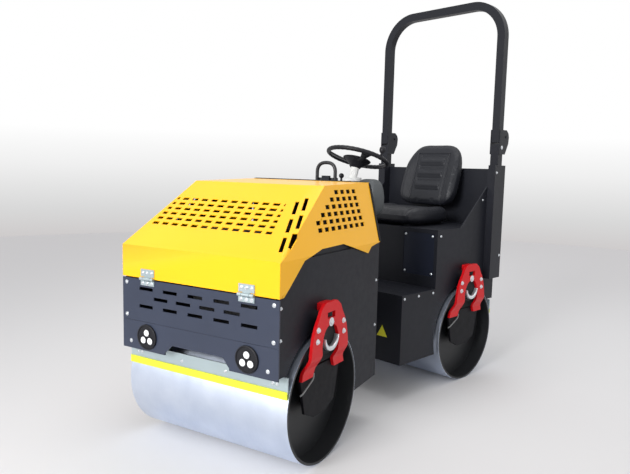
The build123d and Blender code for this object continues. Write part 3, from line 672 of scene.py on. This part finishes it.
# Lifting eye: a bent round bar over the pivot, welded to the post, with a flat foot plate
# across its legs; all in black paint.
eye_bar = rounded_path([(-55, 698, 1150), (-55, 698, 1259), (55, 698, 1259),
                        (55, 698, 1150)], 52, 4.0)
bar = carried(from_front(eye_bar), REARWARDS, 0.0094, 0.0094, 20)
plate = carried(from_front([(x, 711, 1150) for x in (-63.6, -63, 0, 63, 63.6)]), REARWARDS,
                (0.0285, 0.0295, 0.0295, 0.0295, 0.0285),
                (0.003, 0.0039, 0.0039, 0.0039, 0.003), 24, 12.0)
eye_black = coloured_finish("eye_black", (0.013, 0.013, 0.016), 0.4, grain_mm=1.0, bump=0.08,
                            drift=0.2, specular=0.4)
eye = make_piece("lifting_bar", *joined([bar, plate]), eye_black, "front_frame",
                 "black_paint")
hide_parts("lifting_eye")
dress(eye_black, "lifting_eye")

# Engine, blades, bars and cylinder: cast iron under the hood, yellow-green scraper blades
# on zinc-plated bars, and a black steering cylinder with a chrome rod.
dress(coloured_finish("engine_iron", (0.05, 0.05, 0.052), 0.65, grain_mm=2.0, bump=0.3,
                      drift=0.3), "engine_block")
dress(coloured_finish("blade_paint", (0.62, 0.66, 0.03), 0.42, grain_mm=1.5, bump=0.05,
                      drift=0.16), "front_scraper_blade", "rear_scraper_blade")
dress(coloured_finish("zinc_plate", (0.42, 0.50, 0.52), 0.38, grain_mm=1.2, bump=0.06,
                      drift=0.16, metallic=0.6), "front_scraper_bar", "rear_scraper_bar",
      "hood_hinge_fixed", "hood_hinge_moving", "hitch_pin")
dress(coloured_finish("chrome_rod", (0.8, 0.8, 0.82), 0.08, grain_mm=3.0, bump=0.01,
                      drift=0.02, metallic=1.0), "steering_cylinder_rod")
dress(coloured_finish("cylinder_black", (0.015, 0.015, 0.016), 0.3, grain_mm=1.5, bump=0.05,
                      drift=0.2), "steering_cylinder_barrel")

# Column and console: a white steel tube with a grey moulded instrument housing beside it,
# a rounded box with a waist round its joint and its upper outer corner pulled in.
column_white = coloured_finish("column_white", (0.80, 0.80, 0.78), 0.4, grain_mm=1.0,
                               bump=0.04, drift=0.03)
dress(column_white, "steering_column")
console_grey = coloured_finish("console_grey", (0.060, 0.066, 0.070), 0.5, grain_mm=0.8,
                               bump=0.15, drift=0.12)
COLUMN_Y = 182.0
HOUSING_X, HOUSING_Y, HOUSING_Z = 121, 185, 1076
HALF_WIDE, HALF_LONG, HALF_HIGH = 79, 53, 100
theta = np.linspace(0.03, np.pi - 0.03, 56)
phi = np.linspace(0, 2 * np.pi, 72, endpoint=False)
form_x = swell(np.sin(theta), 0.55)[:, None] * swell(np.cos(phi), 0.62)[None, :]
form_z = swell(np.sin(theta), 0.55)[:, None] * swell(np.sin(phi), 0.62)[None, :]
form_y = swell(np.cos(theta), 0.55)[:, None] * np.ones(len(phi))
waist = 1 - 0.018 * np.exp(-(form_y / 0.035) ** 2)
pulled = 14 * np.clip(form_z, 0, 1) * np.clip(form_x, 0, 1)
form = np.stack((HOUSING_X + HALF_WIDE * form_x * waist - pulled,
                 HOUSING_Y + HALF_LONG * form_y, HOUSING_Z + HALF_HIGH * form_z * waist),
                axis=-1)
housing = make_piece("instrument_housing", from_rear(form), ring_faces(len(theta), len(phi)),
                     console_grey, "rear_frame", "grey_plastic", 60)
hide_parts("console")
dress(console_grey, "console")

# Drive lever: a bent rod out of the column with a rubber boot at its root and a ball on
# its end.
lever_path = rounded_path([(-44, COLUMN_Y, 1060), (-93, COLUMN_Y, 1060),
                           (-98, 190, 1182)], 14, 3.0)
shaft = carried(from_rear(lever_path), (0, 1, 0), 0.0062, 0.0062, 14)
ball_turn = np.linspace(-1.35, 1.45, 14)
ball = turned([(0.0148 * math.cos(a), 0.0148 * math.sin(a)) for a in ball_turn],
              from_rear((-98, 190, 1188)), (0, 0, 1), 24)
boot = turned([(r / 1000, h / 1000) for r, h in
               ((19, -1), (19, 3), (15, 6), (16.5, 9), (12, 13), (13, 16), (8.5, 21),
                (6.3, 24))], from_rear((-45.5, COLUMN_Y, 1060)), (-1, 0, 0), 24)
lever = make_piece("drive_lever_rod", *joined([shaft, ball, boot]), moulding, "rear_frame",
                   "black_plastic")
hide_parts("drive_lever")
dress(moulding, "drive_lever", "steering_wheel", "steering_rim", "steering_knob")

# Steering wheel: a moulded rim over three broad dished spokes, a conical boss over the
# spindle, and a turning knob on the rim.
WHEEL_TILT, WHEEL_RADIUS, SPOKE_START = math.radians(18), 0.166, 0.012
axis = np.array((0.0, math.sin(WHEEL_TILT), math.cos(WHEEL_TILT)))
across = np.array((1.0, 0.0, 0.0))
ahead = np.cross(axis, across)
hub_centre = from_rear((0, 212, 1293))
angle = np.linspace(0, 2 * np.pi, 144, endpoint=False)
circle = (hub_centre + WHEEL_RADIUS * (np.cos(angle)[:, None] * across
                                       + np.sin(angle)[:, None] * ahead))
grip = 0.0122 + 0.0005 * np.cos(36 * angle)
rim = make_piece("steering_rim_grip", *carried(circle, axis, grip, grip, 20, 2.0, True),
                 moulding, "wheel", "black_plastic")
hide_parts("steering_rim")
t = np.linspace(0, 1, 16)
spoke_wide = 0.034 - 0.020 * np.sin(np.pi * t ** 0.8)
spoke_run = (SPOKE_START + (WHEEL_RADIUS - 0.006 - SPOKE_START) * t)[:, None]
spoke_rise = (-0.030 + 0.030 * t ** 1.6)[:, None]
arms = []
for degrees in (90, 210, 330):
    a = math.radians(degrees)
    radial = math.cos(a) * across + math.sin(a) * ahead
    arms.append(carried(hub_centre + radial * spoke_run + axis * spoke_rise, axis,
                        spoke_wide, 0.0055, 20, 3.5))
arms.append(turned([(r / 1000, h / 1000) for r, h in
                    ((12.5, -64), (27, -62), (31, -58), (37, -48), (52, -33), (70, -21),
                     (78, -15), (79, -12), (76, -10), (58, -13), (40, -20), (30, -21),
                     (26, -16), (8, -15))], hub_centre, axis, 64))
arms.append(turned([(0.0118, -0.190), (0.0118, -0.062)], hub_centre, axis, 24))
spokes = make_piece("steering_wheel_spokes", *joined(arms), moulding, "wheel",
                    "black_plastic")
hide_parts("steering_wheel")
knob_foot = hub_centre + across * WHEEL_RADIUS + axis * 0.0122
knob = make_piece("steering_wheel_knob",
                  *turned([(r / 1000, h / 1000) for r, h in
                           ((10, -2), (10, 2), (6, 5), (6, 12), (11, 17), (16, 26), (17, 35),
                            (15.5, 43), (11, 48), (4, 49.6))], knob_foot, axis, 32),
                  moulding, "wheel", "black_plastic")
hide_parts("steering_knob")

# Seat: a foam cushion and back in black vinyl, with sewn channels, raised bolsters at the
# sides and a welt along the edges, on two runners.
vinyl = coloured_finish("seat_vinyl", (0.0110, 0.0120, 0.0165), 0.44, grain_mm=1.6,
                        bump=0.05, drift=0.12, soften=0, specular=0.32)
sewn = vinyl.node_tree
vinyl_shader = sewn.nodes["Principled BSDF"]
grain = shader_node(sewn, "TexCoord", {})
cells = shader_node(sewn, "TexVoronoi", {"Vector": grain.outputs["Object"], "Scale": 520.0})
softer = vinyl_shader.inputs["Normal"].links[0].from_socket
pebble = shader_node(sewn, "Bump", {"Height": cells.outputs["Distance"], "Normal": softer,
                                    "Strength": 0.28, "Distance": 0.0006})
pebble.invert = True
feed(sewn, vinyl_shader, {"Normal": pebble.outputs["Normal"]})


def pad_form(half_wide, half_long, half_thick, taper, name):
    """Closed pad about the origin: outline and section are both rounded squares, where a
    sine or cosine keeps its sign and is raised to a power below one, and the outline
    narrows towards one end by the taper."""
    around = np.linspace(0, 2 * np.pi, 96, endpoint=False)
    over = np.linspace(0.02, np.pi - 0.02, 40)[::-1]
    reach = (np.sin(over) ** 0.38)[:, None]
    height = swell(np.cos(over), 0.62)[:, None]
    v = half_long * swell(np.sin(around), 0.42)[None, :] * reach
    narrow = 1 - taper * np.clip(v / half_long, 0, 1) ** 1.5
    u = half_wide * swell(np.cos(around), 0.42)[None, :] * reach * narrow
    w = half_thick * height * np.ones_like(u)
    mesh = bpy.data.meshes.new(name)
    mesh.from_pydata(np.stack((u, v, w), axis=-1).reshape(-1, 3).tolist(), [],
                     ring_faces(len(over), len(around)))
    return placed(name, mesh)


def coordinates(mesh):
    """All points of a mesh as one array."""
    flat = np.empty(len(mesh.vertices) * 3)
    mesh.vertices.foreach_get("co", flat)
    return flat.reshape(-1, 3)


CLOTH_FRAMES = 20


def stuffed(piece, limit):
    """Even quads by a voxel remesh, then cloth blown up from inside for twenty frames,
    each point held to at most the limit from where it began, then one subdivision."""
    cells = piece.modifiers.new("cells", "REMESH")
    cells.mode = "VOXEL"
    cells.voxel_size = 0.0055
    baked(piece)
    start = coordinates(piece.data)
    cover = piece.modifiers.new("cover", "CLOTH")
    cover.settings.quality = 5
    cover.settings.use_pressure = True
    cover.settings.uniform_pressure_force = 4.0
    cover.settings.effector_weights.gravity = 0.0
    cover.point_cache.frame_end = CLOTH_FRAMES
    for moment in range(1, CLOTH_FRAMES + 1):
        bpy.context.scene.frame_set(moment)
    graph = bpy.context.evaluated_depsgraph_get()
    shape = coordinates(piece.evaluated_get(graph).data)
    piece.modifiers.clear()
    bpy.context.scene.frame_set(1)
    move = shape - start
    length = np.linalg.norm(move, axis=1, keepdims=True)
    move *= np.minimum(1.0, limit / np.maximum(length, 1e-9))
    piece.data.vertices.foreach_set("co", (start + move).ravel())
    finer = piece.modifiers.new("finer", "SUBSURF")
    finer.levels = finer.render_levels = 1
    baked(piece)


def step(value, low, high):
    """Smooth rise from nought to one between two values."""
    t = np.clip((value - low) / (high - low), 0, 1)
    return t * t * (3 - 2 * t)


def ridge(value, place, width):
    """Bell curve about a place."""
    return np.exp(-((value - place) / width) ** 2)


WELT_HEIGHT = {"seat_cushion": 0.022, "seat_back": 0.016}


def finish_pad(piece, shape, to_place, covers):
    """Pushes each point along the pad's own height by the sewn shape and swells a welt
    outwards at its height on the sides, then carries the pad to its place."""
    mesh = piece.data
    p = coordinates(mesh)
    normals = np.empty(len(mesh.vertices) * 3)
    mesh.vertices.foreach_get("normal", normals)
    outward = normals.reshape(-1, 3).copy()
    facing = step(outward[:, 2], 0.15, 0.75)
    outward[:, 2] = 0
    p[:, 2] += shape(p[:, 0], p[:, 1]) * facing
    welt = 0.0026 * ridge(p[:, 2], WELT_HEIGHT[covers], 0.0035) * (1 - facing)
    p += outward * welt[:, None]
    mesh.vertices.foreach_set("co", to_place(p).ravel())
    mesh.materials.clear()
    mesh.materials.append(vinyl)
    mesh.shade_smooth()
    mesh.update()
    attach(piece, "rear_frame")
    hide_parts(covers)
    dress(vinyl, covers)


def cushion_shape(u, v):
    """Bolsters rise towards both sides, a seam runs at their foot, two channels cross the
    middle, and the front edge falls away."""
    side = np.abs(u)
    middle = 1 - step(side, 0.135, 0.15)
    rise = 0.016 * step(side, 0.145, 0.185) * (1 - step(side, 0.20, 0.235))
    seam = -0.006 * ridge(side, 0.142, 0.006)
    cross = -0.0055 * (ridge(v, -0.075, 0.007) + ridge(v, 0.05, 0.007)) * middle
    crown = 0.004 * np.cos(np.clip(v / 0.2, -1, 1) * np.pi / 2) * middle
    fall = -0.014 * step(-v, 0.13, 0.215)
    return rise + seam + cross + crown + fall


def back_shape(u, v):
    """Wings stand forward at both sides, most at the bottom; inside a sewn border lie
    three raised cross ribs."""
    side = np.abs(u)
    wings = 0.020 * step(side, 0.125, 0.175) * (1 - step(v, 0.02, 0.17)) * (
        1 - 0.5 * step(side, 0.19, 0.225))
    border = -0.006 * ridge(side, 0.118, 0.0055) * (1 - step(v, 0.125, 0.14))
    border += -0.006 * ridge(v, 0.130, 0.0055) * (1 - step(side, 0.115, 0.125))
    inside = 1 - step(side, 0.085, 0.098)
    ribs = sum(0.0095 * ridge(v, place, 0.016) - 0.004 * ridge(v, place - 0.032, 0.006)
               - 0.004 * ridge(v, place + 0.032, 0.006) for place in (-0.080, 0.0, 0.080))
    return wings + border + ribs * inside


SEAT_LEAN = math.atan2(110, 320)
STUFFING_LIMIT = 0.007
cushion_middle = from_rear((0, 664, 955))
cushion = pad_form(0.226, 0.207, 0.041, 0.0, "seat_cushion_pad")
stuffed(cushion, STUFFING_LIMIT)
finish_pad(cushion, cushion_shape, lambda p: p + cushion_middle, "seat_cushion")
lean = np.array(((1.0, 0.0, 0.0), (0.0, math.sin(SEAT_LEAN), math.cos(SEAT_LEAN)),
                 (0.0, -math.cos(SEAT_LEAN), math.sin(SEAT_LEAN))))
back_middle = from_rear((0, 852, 1008)) + lean[1] * 0.215 - lean[2] * 0.033
back = pad_form(0.214, 0.207, 0.027, 0.20, "seat_back_pad")
stuffed(back, STUFFING_LIMIT)
finish_pad(back, back_shape, lambda p: back_middle + p @ lean, "seat_back")

# Drums: rolled steel plate, bright from work and tinted blue as a painted reflection, with fine
# marks round the face and black paint on the sunken ends.
FACE_INNER_RADIUS = 0.2785


def drum_steel(name, axle, turn):
    """Metal whose roughness and tone follow noise stretched round the drum, so that
    marks change quickly along the axle and slowly round it; nearer to the axle than the
    face's inner radius, the surface is black paint."""
    material = bpy.data.materials.new(name)
    material.use_nodes = True
    tree = material.node_tree
    place = shader_node(tree, "TexCoord", {}).outputs["Object"]
    centred = shader_node(tree, "Mapping", {"Vector": place, "Location": axle,
                                            "Rotation": (0, 0, turn)})
    centred.vector_type = "TEXTURE"
    own = centred.outputs["Vector"]
    axes = shader_node(tree, "SeparateXYZ", {"Vector": own}).outputs
    squares = [shader_node(tree, "Math", {0: axes[axis], 1: axes[axis]}, "MULTIPLY")
               for axis in ("Y", "Z")]
    total = shader_node(tree, "Math", {0: squares[0].outputs[0], 1: squares[1].outputs[0]})
    radius = shader_node(tree, "Math", {0: total.outputs[0]}, "SQRT")
    outside = shader_node(tree, "Math", {0: radius.outputs[0], 1: FACE_INNER_RADIUS},
                          "GREATER_THAN").outputs[0]
    stretch = shader_node(tree, "Mapping", {"Vector": own, "Scale": (90.0, 3.0, 3.0)})
    marks = shader_node(tree, "TexNoise", {"Vector": stretch.outputs["Vector"], "Scale": 1.0,
                                           "Detail": 6.0}).outputs["Fac"]
    blotch = shader_node(tree, "TexNoise", {"Vector": own, "Scale": 7.0, "Detail": 4.0})
    # The steel's blue tint is a painted reflection of blue light; its random blotches are the
    # metal's own tone.
    bright = shader_node(tree, "Mix", {"A": (0.55, 0.62, 0.76, 1), "B": (0.78, 0.84, 0.95, 1),
                                       "Factor": blotch.outputs["Fac"]}, data_type="RGBA")
    skin = shader_node(tree, "Mix", {"A": (0.010, 0.011, 0.013, 1),
                                     "B": bright.outputs["Result"], "Factor": outside},
                       data_type="RGBA")
    worn = shader_node(tree, "MapRange", {"Value": marks, "To Min": 0.30, "To Max": 0.50})
    rough = shader_node(tree, "Mix", {"A": 0.45, "B": worn.outputs["Result"],
                                      "Factor": outside}, data_type="FLOAT")
    raised = shader_node(tree, "Bump", {"Height": marks, "Strength": 0.08,
                                        "Distance": 0.0006})
    feed(tree, tree.nodes["Principled BSDF"],
         {"Base Color": skin.outputs["Result"], "Roughness": rough.outputs["Result"],
          "Metallic": outside, "Normal": raised.outputs["Normal"]})
    return material


for node in ("front_drum", "rear_drum"):
    joint = joint_named(node + "_roll")
    turn = math.atan2(joint["axis"][1], joint["axis"][0])
    dress(drum_steel(node + "_steel", joint["pos_m"], turn), node)
